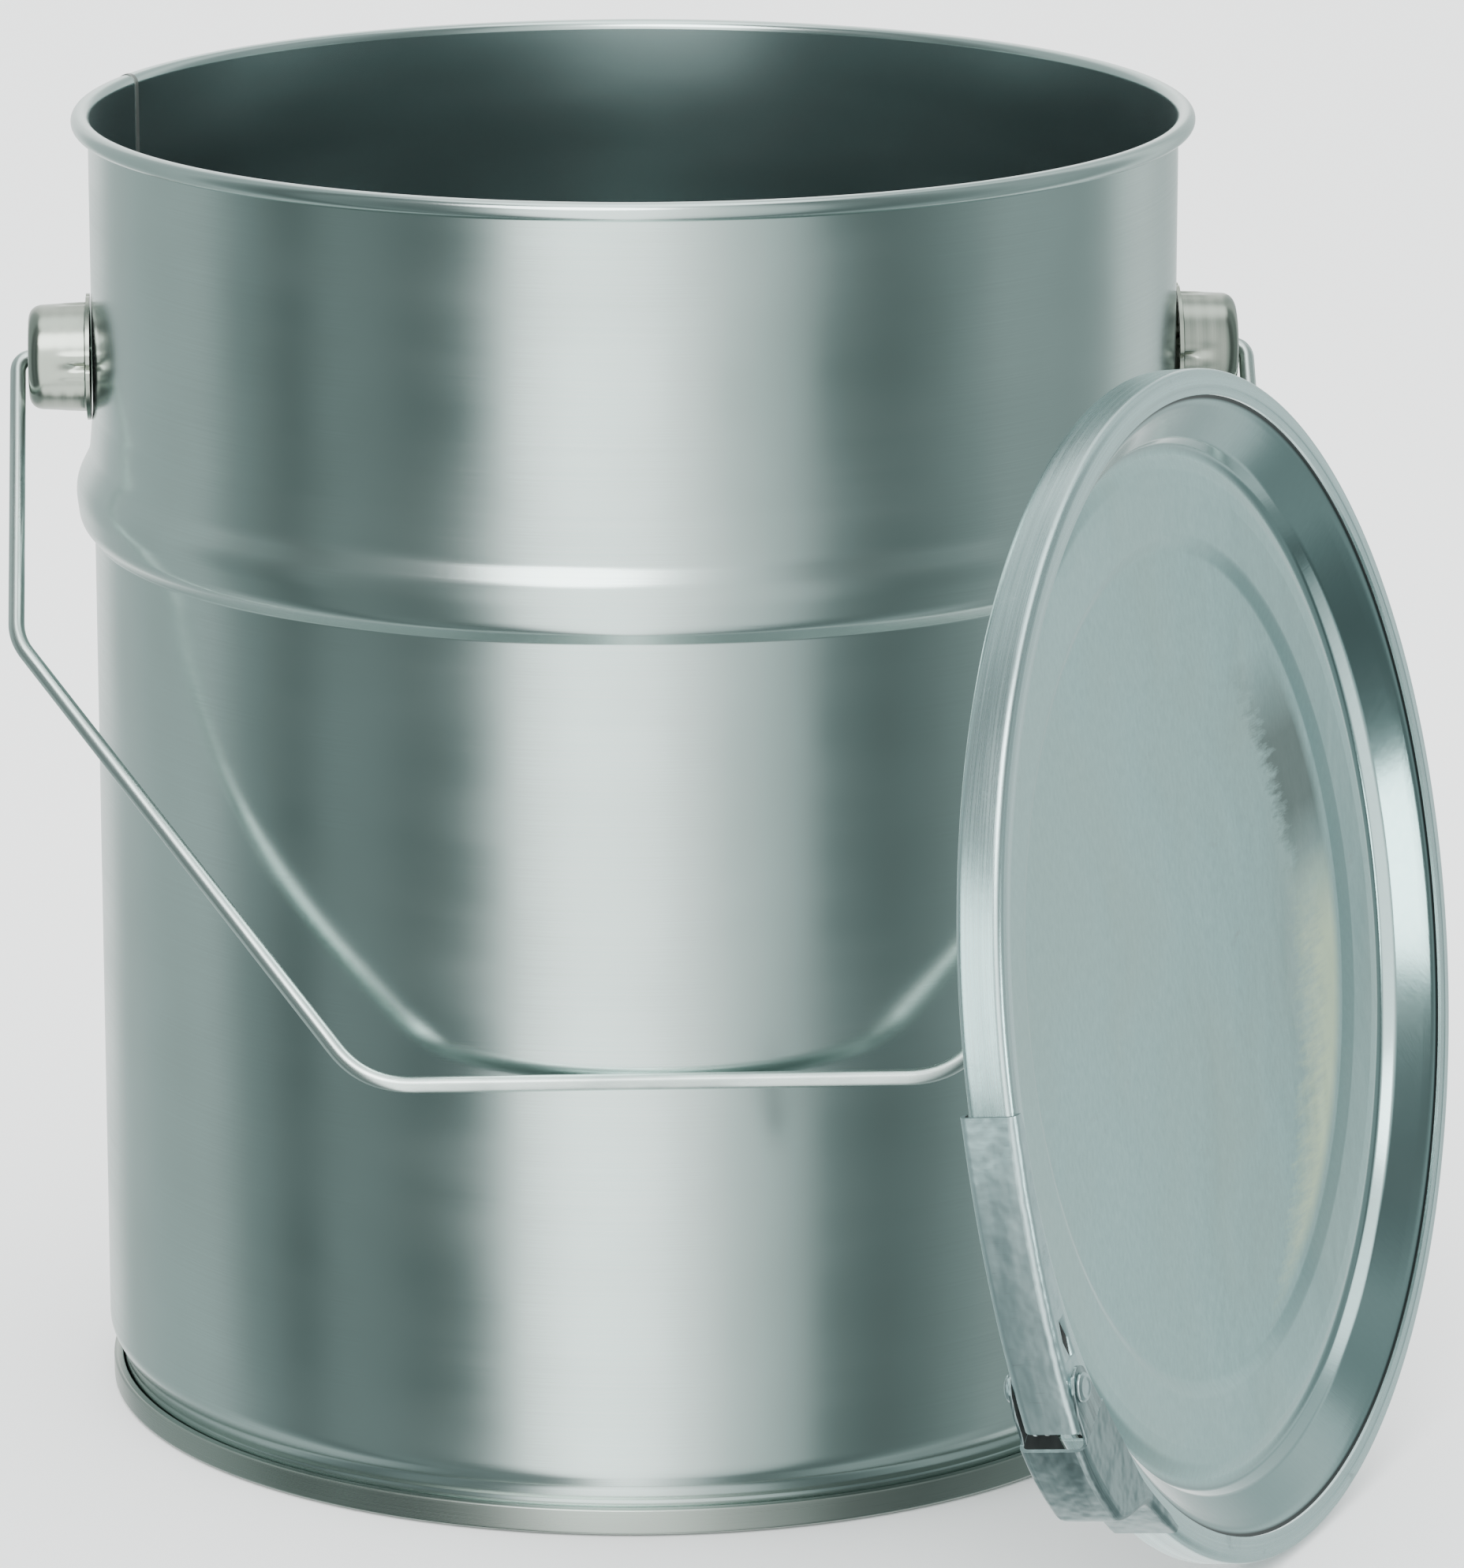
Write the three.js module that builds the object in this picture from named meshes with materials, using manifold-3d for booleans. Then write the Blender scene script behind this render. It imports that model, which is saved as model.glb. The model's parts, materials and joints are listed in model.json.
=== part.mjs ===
// A ten-litre tinplate pail with a wire bail. Its lid, still in its lever closing ring, leans
// against the bail on the right. Millimetres, +Z up. The origin is on the floor, at the centre
// of the footprint of everything.
import * as THREE from "three";
import { mergeVertices } from "three/addons/utils/BufferGeometryUtils.js";
import Module from "manifold-3d";

const wasm = await Module();
wasm.setup();

// ---- Driving dimensions ----
const FACETS = 40;               // flat facets round the pail and round the lid
const GAP = 0.3;                 // clearance between pieces that touch

const PAIL = { radius: 115, height: 278.4, sheet: 0.4 };
const CURL = { roll: 1.97 };     // outer radius of the rolled rim
const BEAD = { low: 188.4, high: 207.8, proud: 4 };
const NECK = { radius: 112, high: 13.5, low: 6.5 };
const SEAM = { radius: 114.4, height: 5.5, wall: 0.6, panelHeight: 4.8, sheet: 0.5 };
const HOOK = { high: 4.3, low: 2.1 };             // the wall's hook inside the double seam
const COMPOUND_RING = { inner: 112, outer: 113.2, low: 0.8, high: 1.6 };

const EAR = {
  height: 225.5, turn: THREE.MathUtils.degToRad(2.4), cupRadius: 11.45, flangeRadius: 13.25,
  proud: 13.3, corner: 3.4, sheet: 0.8, hole: 3,
};
const BAIL = {
  wire: 1.7, armX: 130.6, armLength: 68.6, reach: 173, gripHalf: 60, stub: 7,
  shoulder: 7, corner: 14,       // how far from its point each bend starts
};

const LID = {
  azimuth: THREE.MathUtils.degToRad(65), lean: THREE.MathUtils.degToRad(8.5),
  x: 122.5, y: -111, sheet: 0.4, panelDepth: 11, panelRadius: 84.6, landDepth: 9.7, landRadius: 102,
};
const RING = {
  radius: 121, width: 9.6, sheet: 0.7, shoulder: 2.5, lip: 115.6, split: 215, hinge: 35, splitGap: 0.5,
};
const GASKET = { inner: 115.2, outer: 117.6, top: -1.95, bottom: -2.85 };

// The lever closure lies along the ring. Angles are degrees round the lid.
const LEVER = { tail: 179.5, end: 210, tailRadius: 122.6, endRadius: 129.5, sheet: 0.8, lip: 118.6 };
const PIVOT = { angle: 210.6, radius: 124, pin: 1.2 };
const RIVET = { angle: 206.6, radius: 124.2, shank: 1.5, head: 2.9, headHeight: 0.9, inner: 2.3 };
const BRACKET = {
  roofStart: 210.9, roofEnd: 221.5, footStart: 226, footEnd: 232.5, roof: 132.4, drop: 0.6, sheet: 0.8,
};
const LUG = { start: 206.5, middle: 209, end: 213, front: -0.6, back: -9, sheet: 0.8 };

// ---- Colours ----
const finish = (color, roughness, metalness) => (
  new THREE.MeshStandardMaterial({ color, roughness, metalness })
);
const TINPLATE = finish(0xb9bfbc, 0.25, 1);
const MATTE_TINPLATE = finish(0xa7adad, 0.45, 1);
const ZINC = finish(0x9aa2a5, 0.5, 1);
const WIRE = finish(0xb4bab8, 0.3, 1);
const RUBBER = finish(0x3a3d3c, 0.8, 0);
const COMPOUND = finish(0x54605a, 0.9, 0);

// ---- Small helpers ----
const round = (degrees, radius) => {
  const angle = THREE.MathUtils.degToRad(degrees);
  return new THREE.Vector2(radius * Math.cos(angle), radius * Math.sin(angle));
};

function toManifold(geometry) {
  const bare = geometry.index ? geometry.clone() : mergeVertices(geometry);
  bare.deleteAttribute("normal");
  bare.deleteAttribute("uv");
  const merged = mergeVertices(bare, 1e-4);
  const mesh = new wasm.Mesh({
    numProp: 3,
    vertProperties: new Float32Array(merged.attributes.position.array),
    triVerts: new Uint32Array(merged.index.array),
  });
  return new wasm.Manifold(mesh);
}

function fromManifold(solid) {
  const mesh = solid.getMesh();
  const geometry = new THREE.BufferGeometry();
  geometry.setAttribute("position", new THREE.BufferAttribute(mesh.vertProperties, 3));
  geometry.setIndex(new THREE.BufferAttribute(mesh.triVerts, 1));
  geometry.computeVertexNormals();
  return geometry;
}

const join = (...geometries) => fromManifold(
  geometries.map(toManifold).reduce((whole, next) => whole.add(next)),
);
const cut = (geometry, ...tools) => fromManifold(
  tools.map(toManifold).reduce((whole, tool) => whole.subtract(tool), toManifold(geometry)),
);
const overlap = (geometry, other) => fromManifold(toManifold(geometry).intersect(toManifold(other)));

// A solid of revolution about Z from a closed outline of (radius, z) points.
function revolve(outline, facets = FACETS) {
  const loop = THREE.ShapeUtils.isClockWise(outline) ? [...outline].reverse() : [...outline];
  const onAxis = loop[0].x === 0 && loop.at(-1).x === 0;
  const points = onAxis ? loop : [...loop, loop[0].clone()];
  return new THREE.LatheGeometry(points, facets).rotateX(Math.PI / 2);
}

// The closed outline of sheet metal that follows a middle line of (radius, z) points.
function sheetOutline(middle, thickness) {
  const sides = [[], []];
  middle.forEach((point, i) => {
    const before = middle[Math.max(i - 1, 0)];
    const after = middle[Math.min(i + 1, middle.length - 1)];
    const into = point.clone().sub(before).normalize();
    const out = after.clone().sub(point).normalize();
    const along = into.clone().add(out).normalize();
    const straightness = i === 0 || i === middle.length - 1 ? 1 : along.dot(out);
    const normal = new THREE.Vector2(-along.y, along.x);
    const offset = thickness / 2 / straightness;
    sides[0].push(point.clone().addScaledVector(normal, offset));
    sides[1].push(point.clone().addScaledVector(normal, -offset));
  });
  sides.flat().forEach((point) => { point.x = Math.max(point.x, 0); });
  return [...sides[0], ...sides[1].reverse()];
}

const sheet = (middle, thickness, facets) => revolve(sheetOutline(middle, thickness), facets);

// Points of a circular arc in the (radius, z) plane; angles in degrees.
function arc(centreX, centreY, radius, from, to, steps) {
  return Array.from({ length: steps + 1 }, (_, i) => {
    const angle = THREE.MathUtils.degToRad(from + ((to - from) * i) / steps);
    return new THREE.Vector2(centreX + radius * Math.cos(angle), centreY + radius * Math.sin(angle));
  });
}

const point = (x, y) => new THREE.Vector2(x, y);

// A flat plate: an outline in the XY plane, from one height to another.
function plate(outline, low, high, holes = []) {
  const shape = new THREE.Shape(outline);
  holes.forEach(({ centre, radius }) => {
    shape.holes.push(new THREE.Path().absarc(centre.x, centre.y, radius, 0, 2 * Math.PI, true));
  });
  const settings = { depth: high - low, bevelEnabled: false, curveSegments: 6 };
  return new THREE.ExtrudeGeometry(shape, settings).translate(0, 0, low);
}

function disc(centre, radius, low, high, facets = 16) {
  const cylinder = new THREE.CylinderGeometry(radius, radius, high - low, facets);
  return cylinder.rotateX(Math.PI / 2).translate(centre.x, centre.y, (low + high) / 2);
}

function named(name, geometry, material) {
  const mesh = new THREE.Mesh(geometry, material);
  mesh.name = name;
  return mesh;
}

// ---- The pail ----
function bodyShell() {
  const { radius, height, sheet: metal } = PAIL;
  const wall = radius - metal / 2;
  const neck = NECK.radius - metal / 2;
  const roll = CURL.roll - metal / 2;
  const curlMiddle = wall + roll;
  const peak = (BEAD.low + BEAD.high) / 2;
  const hookOut = SEAM.radius - SEAM.wall - GAP - metal / 2;
  const middle = [
    // the hook inside the double seam
    point(hookOut, HOOK.high),
    point(hookOut, HOOK.low),
    point(neck, HOOK.low),
    // the neck at the foot
    point(neck, NECK.low),
    point(neck + 1.1, NECK.low + 3),
    point(wall, NECK.high),
    // the expansion bead: a crease below, a soft slope above
    point(wall, BEAD.low),
    point(wall + 2.6, BEAD.low + 2.6),
    point(wall + BEAD.proud, peak - 2.6),
    point(wall + BEAD.proud, peak + 1.6),
    point(wall + 1.7, peak + 5.6),
    point(wall, BEAD.high),
    // the rolled rim
    ...arc(curlMiddle, height - CURL.roll, roll, 180, -95, 8),
  ];
  return named("body_shell", sheet(middle, metal), TINPLATE);
}

function bottomEnd() {
  const metal = SEAM.sheet;
  const cover = SEAM.radius - SEAM.wall / 2;
  const chuck = NECK.radius - PAIL.sheet - GAP - metal / 2;
  const hook = NECK.radius + GAP + metal / 2;
  const floor = metal / 2;
  const top = SEAM.height - metal / 2;
  const bend = 0.6;
  const step = 1.2;
  const middle = [
    // the panel, with a low step round it
    point(0, SEAM.panelHeight),
    point(chuck - 12, SEAM.panelHeight),
    point(chuck - 9, SEAM.panelHeight - step),
    point(chuck - step, SEAM.panelHeight - step),
    point(chuck, SEAM.panelHeight - 2 * step),
    // down the chuck wall, round under the seam and up its outside
    point(chuck, floor + bend),
    point(chuck + bend, floor),
    point(cover - bend, floor),
    point(cover, floor + bend),
    point(cover, top),
    // the hook that goes over the wall's hook
    point(hook, top),
    point(hook, HOOK.low + step - 0.4),
  ];
  return named("bottom_end", sheet(middle, metal), TINPLATE);
}

function seamCompound() {
  const { inner, outer, low, high } = COMPOUND_RING;
  const outline = [point(inner, low), point(outer, low), point(outer, high), point(inner, high)];
  return named("seam_compound", revolve(outline), COMPOUND);
}

// A pressed cup with a flange, welded to the wall; the bail turns in the hole in its face.
function ear(name, side) {
  const { cupRadius, flangeRadius, proud, corner, sheet: metal, hole } = EAR;
  const half = metal / 2;
  const cup = cupRadius - half;
  const face = proud - half;
  const foot = GAP + half;
  const bend = 0.9;
  const bow = corner - half;
  const middle = [
    point(flangeRadius, foot),
    point(cup + bend, foot),
    point(cup, foot + bend),
    ...arc(cup - bow, face - bow, bow, 0, 90, 4),
    point(hole, face),
  ];
  const mesh = named(name, sheet(middle, metal, 24), TINPLATE);
  mesh.rotation.y = (side * Math.PI) / 2;
  mesh.position.set(side * PAIL.radius, 0, EAR.height);
  return mesh;
}

// ---- The bail ----
// Its shape is drawn hanging straight down from the ear axis, then swung out to the wall.
function bailWire() {
  const { wire, armX, armLength, reach, gripHalf, stub, shoulder, corner } = BAIL;
  const section = new THREE.Shape(
    Array.from({ length: 8 }, (_, i) => round(22.5 + i * 45, wire)),
  );
  const rod = (path, steps) => new THREE.ExtrudeGeometry(section, { extrudePath: path, steps });
  const at = (x, drop) => new THREE.Vector3(x, 0, -drop);
  const slant = new THREE.Vector2(gripHalf - armX, reach - armLength).normalize();
  const turn = 4;                // the bend from an arm into its ear
  const lap = 0.5;               // how far the hook's end reaches into the arm

  const bow = new THREE.CurvePath();
  const half = (side) => [
    at(side * armX, turn - lap),
    at(side * armX, armLength - shoulder),
    at(side * armX, armLength),
    at(side * (armX + slant.x * shoulder), armLength + slant.y * shoulder),
    at(side * (gripHalf - slant.x * corner), reach - slant.y * corner),
    at(side * gripHalf, reach),
    at(side * (gripHalf - corner), reach),
  ];
  const left = half(-1);
  const right = half(1).reverse();
  bow.add(new THREE.LineCurve3(left[0], left[1]));
  bow.add(new THREE.QuadraticBezierCurve3(left[1], left[2], left[3]));
  bow.add(new THREE.LineCurve3(left[3], left[4]));
  bow.add(new THREE.QuadraticBezierCurve3(left[4], left[5], left[6]));
  bow.add(new THREE.LineCurve3(left[6], right[0]));
  bow.add(new THREE.QuadraticBezierCurve3(right[0], right[1], right[2]));
  bow.add(new THREE.LineCurve3(right[2], right[3]));
  bow.add(new THREE.QuadraticBezierCurve3(right[3], right[4], right[5]));
  bow.add(new THREE.LineCurve3(right[5], right[6]));

  const hook = (side) => {
    const path = new THREE.CurvePath();
    const start = at(side * armX, turn);
    const inward = at(side * (armX - turn), 0);
    path.add(new THREE.QuadraticBezierCurve3(start, at(side * armX, 0), inward));
    path.add(new THREE.LineCurve3(inward, at(side * (armX - turn - stub), 0)));
    return rod(path, 10);
  };
  const mesh = named("bail", join(rod(bow, 72), hook(-1), hook(1)), WIRE);
  mesh.rotation.x = -restAngle();
  mesh.position.z = EAR.height;
  return mesh;
}

// The bail hangs with the middle of its grip against the wall.
function restAngle() {
  return Math.asin((PAIL.radius + GAP + BAIL.wire) / BAIL.reach);
}

// ---- The lid and its closing ring ----
// Drawn with the lid's axis along Z: z = 0 is the ring's outer face, the pail side is below.
function lidPanel() {
  const { panelRadius, panelDepth, landRadius, landDepth } = LID;
  const middle = [
    // the middle of the panel, and the land round it
    point(0, -panelDepth),
    point(panelRadius, -panelDepth),
    point(panelRadius + 3, -landDepth),
    point(landRadius, -landDepth),
    // the groove, the step and the sloping wall
    point(104.4, -11.1),
    point(106.3, -10.6),
    point(107.5, -7.7),
    point(111.8, -3.7),
    point(113.4, -1.8),
    // over the rim and down its outside
    point(114.6, -1.3),
    point(117.3, -1.3),
    point(118.9, -1.9),
    point(119.7, -3.3),
    point(119.7, -5.8),
  ];
  return named("lid_panel", sheet(middle, LID.sheet), MATTE_TINPLATE);
}

function lidGasket() {
  const { inner, outer, top, bottom } = GASKET;
  const outline = [point(inner, bottom), point(outer, bottom), point(outer, top), point(inner, top)];
  return named("lid_gasket", revolve(outline), RUBBER);
}

// The closing ring is one split band. It is modelled as two halves, hinged opposite the split.
function closingRing(name, from, to) {
  const { radius, width, sheet: metal, shoulder, lip } = RING;
  const web = radius - metal / 2;
  const face = -metal / 2;
  const back = -width + metal / 2;
  const middle = [
    point(lip, face - 0.25),
    point(web - shoulder, face),
    ...arc(web - shoulder, face - shoulder, shoulder, 60, 0, 2),
    ...arc(web - shoulder, back + shoulder, shoulder, 0, -60, 2),
    point(web - shoulder, back),
    point(lip + 0.9, back + 0.25),
  ];
  const steps = 8;
  const reach = radius * 1.2;
  const rim = Array.from(
    { length: steps + 1 },
    (_, i) => round(from + ((to - from) * i) / steps, reach),
  );
  const sector = plate([point(0, 0), ...rim], -width - 1, 1);
  return named(name, overlap(sheet(middle, metal), sector), ZINC);
}

// The lever is a channel over the ring: a curved back with a side plate each side of the ring.
function lever() {
  const { tail, end, tailRadius, endRadius, sheet: metal, lip } = LEVER;
  const steps = 8;
  const sweep = (inset) => Array.from({ length: steps + 1 }, (_, i) => {
    const t = i / steps;
    return round(tail + (end - tail) * t, tailRadius + (endRadius - tailRadius) * t * t - inset);
  });
  const outer = sweep(0);
  const back = [...outer, ...sweep(metal).reverse()];
  const pivot = round(PIVOT.angle, PIVOT.radius);
  const rivet = round(RIVET.angle, RIVET.radius);
  const innerEdge = [round(203, lip + 1.2), round(190, lip), round(tail, lip + 1)];
  const nose = [round(211.8, 126.6), round(212.3, 124), round(211.6, 121.4), round(209.4, 119.9)];
  const cheek = [...outer, ...nose, ...innerEdge];
  const holes = [
    { centre: pivot, radius: PIVOT.pin + GAP },
    { centre: rivet, radius: RIVET.shank + GAP },
  ];
  const front = GAP;
  const rear = -RING.width - GAP;
  const channel = join(
    plate(back, rear - metal, front + metal),
    plate(cheek, front, front + metal, holes),
    plate(cheek, rear - metal, rear, holes),
  );
  const slot = [round(203.6, 121.2), round(203.6, 123), round(200.2, 123), round(200.2, 121.2)];
  return named("lever", cut(channel, plate(slot, front - 1, front + metal + 1)), ZINC);
}

// The lug and pin that the lever turns on, welded to the upper half's end.
function leverLug() {
  const base = RING.radius + GAP;
  const { start, middle, end, front, back, sheet: metal } = LUG;
  const foot = [start, middle, end].map((angle) => round(angle, base));
  const top = [end, middle, start].map((angle) => round(angle, base + metal));
  const tab = [
    round(208.3, base),
    round(end, base),
    round(212.4, 125.2),
    round(PIVOT.angle, 126),
    round(208.8, 125.2),
  ];
  const pinEnd = GAP + LEVER.sheet - 0.1;
  const lug = join(
    plate([...foot, ...top], back, front),
    plate(tab, front - metal, front),
    plate(tab, back, back + metal),
    disc(round(PIVOT.angle, PIVOT.radius), PIVOT.pin, -RING.width - pinEnd, pinEnd),
  );
  return named("lever_lug", lug, ZINC);
}

// The bracket that the lever pulls on: two arms, a raised roof and a foot on the lower half.
function bracket() {
  const { roofStart, roofEnd, footStart, footEnd, roof, drop, sheet: metal } = BRACKET;
  const front = 2 * GAP + LEVER.sheet;
  const rear = -RING.width - front;
  const foot = RING.radius + GAP;
  const outer = [
    round(roofStart, roof),
    round((roofStart + roofEnd) / 2, roof),
    round(roofEnd, roof - drop),
    round(footStart, foot + metal),
    round(footEnd, foot + metal),
  ];
  const inner = [
    round(footEnd, foot),
    round((footStart + footEnd) / 2, foot),
    round(footStart - 0.2, foot),
    round(roofEnd - 0.3, roof - drop - metal),
    round((roofStart + roofEnd) / 2, roof - metal),
    round(roofStart, roof - metal),
  ];
  const arm = [
    round(roofStart, roof),
    round((roofStart + roofEnd) / 2, roof),
    round(roofEnd, roof - drop),
    round(footStart, foot + metal),
    round(footStart, 119.6),
    round(216, 118.4),
    round(209, 119.3),
    round(205.6, 120.4),
    round(204.7, 122.6),
    round(204.9, 125.4),
    round(206.2, 127.4),
    round(208, 128.6),
    round(roofStart - 0.6, 129.4),
  ];
  const holes = [{ centre: round(RIVET.angle, RIVET.radius), radius: RIVET.shank + GAP }];
  const whole = join(
    plate([...outer, ...inner], rear - metal, front + metal),
    plate(arm, front, front + metal, holes),
    plate(arm, rear - metal, rear, holes),
  );
  return named("closure_bracket", whole, ZINC);
}

// One rivet joins an arm of the bracket to a side plate of the lever.
function rivet(name, front) {
  const centre = round(RIVET.angle, RIVET.radius);
  const outside = 3 * GAP + LEVER.sheet + BRACKET.sheet;
  const lap = 0.1;
  const tailHeight = 0.6;
  const shank = disc(centre, RIVET.shank, -lap, outside + lap);
  const head = disc(centre, RIVET.head, outside, outside + RIVET.headHeight);
  const tail = disc(centre, RIVET.inner, -tailHeight, 0);
  const mesh = named(name, join(shank, head, tail), ZINC);
  if (!front) {
    mesh.geometry.scale(1, 1, -1);
    mesh.geometry.setIndex([...mesh.geometry.index.array].reverse());
    mesh.position.z = -RING.width;
  }
  return mesh;
}

// ---- Assembly ----
const pail = new THREE.Group();
pail.rotation.z = EAR.turn;
pail.add(bodyShell(), bottomEnd(), seamCompound(), ear("ear_left", -1), ear("ear_right", 1), bailWire());

const lid = new THREE.Group();
const { split, hinge, splitGap } = RING;
lid.add(
  lidPanel(),
  lidGasket(),
  closingRing("closing_ring_lower", split + splitGap, hinge + 360),
  closingRing("closing_ring_upper", hinge + splitGap, split - splitGap),
  lever(),
  leverLug(),
  bracket(),
  rivet("bracket_rivet_front", true),
  rivet("bracket_rivet_rear", false),
);
lid.rotation.x = Math.PI / 2 - LID.lean;

const leaningLid = new THREE.Group();
leaningLid.rotation.z = LID.azimuth;
leaningLid.position.set(LID.x, LID.y, 0);
leaningLid.add(lid);
leaningLid.updateMatrixWorld(true);
leaningLid.position.z = -new THREE.Box3().setFromObject(leaningLid, true).min.z;

const assembly = new THREE.Group();
assembly.add(pail, leaningLid);
assembly.updateMatrixWorld(true);
const extent = new THREE.Box3().setFromObject(assembly, true);
const centre = extent.getCenter(new THREE.Vector3());
assembly.position.set(-centre.x, -centre.y, -extent.min.z);

export default assembly;
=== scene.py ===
import json
import math

import bmesh
import bpy
from mathutils import Matrix, Vector


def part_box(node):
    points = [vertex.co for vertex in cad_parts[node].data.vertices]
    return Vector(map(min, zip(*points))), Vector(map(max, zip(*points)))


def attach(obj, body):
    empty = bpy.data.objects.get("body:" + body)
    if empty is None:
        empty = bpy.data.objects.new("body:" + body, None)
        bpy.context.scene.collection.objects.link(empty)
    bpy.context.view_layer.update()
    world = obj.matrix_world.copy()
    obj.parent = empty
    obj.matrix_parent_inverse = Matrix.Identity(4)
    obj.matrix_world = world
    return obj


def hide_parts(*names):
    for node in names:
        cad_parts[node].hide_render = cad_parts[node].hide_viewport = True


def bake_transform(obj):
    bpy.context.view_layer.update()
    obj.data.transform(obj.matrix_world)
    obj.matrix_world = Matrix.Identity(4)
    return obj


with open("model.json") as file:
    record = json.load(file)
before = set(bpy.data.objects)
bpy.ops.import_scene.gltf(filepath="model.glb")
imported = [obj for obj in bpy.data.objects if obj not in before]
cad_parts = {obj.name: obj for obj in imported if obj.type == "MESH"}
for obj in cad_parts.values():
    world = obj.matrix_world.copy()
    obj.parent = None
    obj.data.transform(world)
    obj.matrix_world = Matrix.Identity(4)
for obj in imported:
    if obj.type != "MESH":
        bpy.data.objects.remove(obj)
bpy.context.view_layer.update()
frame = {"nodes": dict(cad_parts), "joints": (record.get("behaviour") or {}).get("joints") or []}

# ---- Driving dimensions, in millimetres ----
MM = 0.001
GAP = 0.3                       # between pieces that touch on the real object
FINE = 240                      # segments round a turned piece
FINEST = 320                    # segments round the pail's wall and the lid's sheet

WALL = 114.8                    # middle of the wall's sheet
SHEET = 0.4
BOTTOM_SHEET = 0.5
HEIGHT = 278.4
ROLL = 1.77                     # rolled rim, to the middle of its sheet
BEAD_LOW, BEAD_HIGH, BEAD_PROUD = 188.4, 207.8, 4.0
SIDE_WELD = {"at": 157.0, "half_width": 0.35, "raised": 0.16, "foot": 8.0}      # the first two in degrees

EAR = {"out": 115.0, "cup": 11.05, "flange": 13.25, "face": 12.9, "corner": 4.4, "sheet": 0.8, "hole": 2.6}
BAIL = {"wire": 1.7, "arm_x": 130.6, "arm": 68.6, "reach": 173.0, "grip": 60.0, "stub": 11.0}

RING = {"web": 120.65, "front": -0.35, "back": -9.25, "shoulder": 2.6, "lip": 115.6, "sheet": 0.7}
RING_DEPTH = 9.6                # from its outer face, z = 0 on the lid, to its rear face
# These, and at, start, tail and end below, are degrees round the lid.
SPLIT, HINGE, SPLIT_GAP = 215.0, 35.0, 0.5
LEVER = {"tail": 179.5, "end": 210.0, "tail_r": 122.6, "end_r": 129.5, "sheet": 0.8}
PIVOT = {"at": 210.6, "radius": 124.0, "pin": 1.2}
RIVET = {"at": 206.6, "radius": 124.2, "shank": 1.5, "head": 2.9, "seat": 2.5}
BRACKET = {"start": 210.9, "end": 232.5, "roof": 132.4, "foot": 122.1, "sheet": 0.8}


# ---- Places, from the frame ----
def joint(name):
    """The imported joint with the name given."""
    return next(j for j in frame["joints"] if j["name"] == name)


def place_matrix(x_axis, y_axis, z_axis, origin):
    """The matrix of a place with the axes and the origin given."""
    matrix = Matrix((x_axis, y_axis, z_axis)).transposed().to_4x4()
    matrix.translation = origin
    return matrix


def pail_place():
    """The pail's own frame: its axis is Z, and the ears lie along its X."""
    low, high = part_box("body_shell")
    ear_axis = -Vector(joint("bail_swing")["axis"]).normalized()
    up = Vector((0, 0, 1))
    return place_matrix(ear_axis, up.cross(ear_axis), up, ((low.x + high.x) / 2, (low.y + high.y) / 2, 0))


def lid_place():
    """The lid's own frame: Z is its outward axis, X is level, z = 0 is the ring's outer face."""
    level = Vector(joint("lid_tip")["axis"]).normalized()
    outward = -Vector(joint("ring_open")["axis"]).normalized()
    up = outward.cross(level)
    corners = [v.co for v in frame["nodes"]["lid_gasket"].data.vertices]
    middle = sum(corners, Vector()) / len(corners)
    highest = max((corner - middle).dot(outward) for corner in corners)
    gasket_below_face = 1.95 * MM
    return place_matrix(level, up, outward, middle + outward * (highest + gasket_below_face))


PAIL = pail_place()
LID = lid_place()
EAR_HEIGHT = joint("bail_swing")["pos_m"][2] / MM


# ---- Outlines ----
def rounded(corners, steps=6):
    """Points along (x, y) or (x, y, radius) corners, with each radius as a smooth bend."""
    points = []
    for i, corner in enumerate(corners):
        here = Vector(corner[:2])
        radius = corner[2] if len(corner) > 2 else 0
        if radius == 0 or i in (0, len(corners) - 1):
            points.append(here)
            continue
        back = Vector(corners[i - 1][:2]) - here
        ahead = Vector(corners[i + 1][:2]) - here
        turn = math.pi - back.angle(ahead)
        length = min(radius * math.tan(turn / 2), back.length * 0.49, ahead.length * 0.49)
        start = here + back.normalized() * length
        end = here + ahead.normalized() * length
        for k in range(steps + 1):
            t = k / steps
            points.append(start * (1 - t) ** 2 + here * (2 * t * (1 - t)) + end * t ** 2)
    return points


def spread_out(points, longest):
    """The same line, with no step longer than the one given."""
    line = []
    for a, b in zip(points, points[1:]):
        pieces = max(1, math.ceil((b - a).length / longest))
        line += [a.lerp(b, k / pieces) for k in range(pieces)]
    return [*line, points[-1]]


def arc(centre_x, centre_y, radius, start, end, steps):
    """Points of a circular arc, with its angles in degrees."""
    angles = [math.radians(start + (end - start) * k / steps) for k in range(steps + 1)]
    return [Vector((centre_x + radius * math.cos(a), centre_y + radius * math.sin(a))) for a in angles]


def thicken(middle, sheet):
    """The closed outline of a sheet that follows a middle line, kept to one side of the axis."""
    steps = [(b - a).normalized() for a, b in zip(middle, middle[1:])]
    left, right = [], []
    for here, into, out in zip(middle, [steps[0], *steps], [*steps, steps[-1]]):
        along = (into + out).normalized()
        normal = Vector((-along.y, along.x)) * (sheet / 2 / max(along.dot(out), 0.5))
        left.append(here + normal)
        right.append(here - normal)
    for point in left + right:
        point.x = max(point.x, 0)
    return left + right[::-1]


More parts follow.
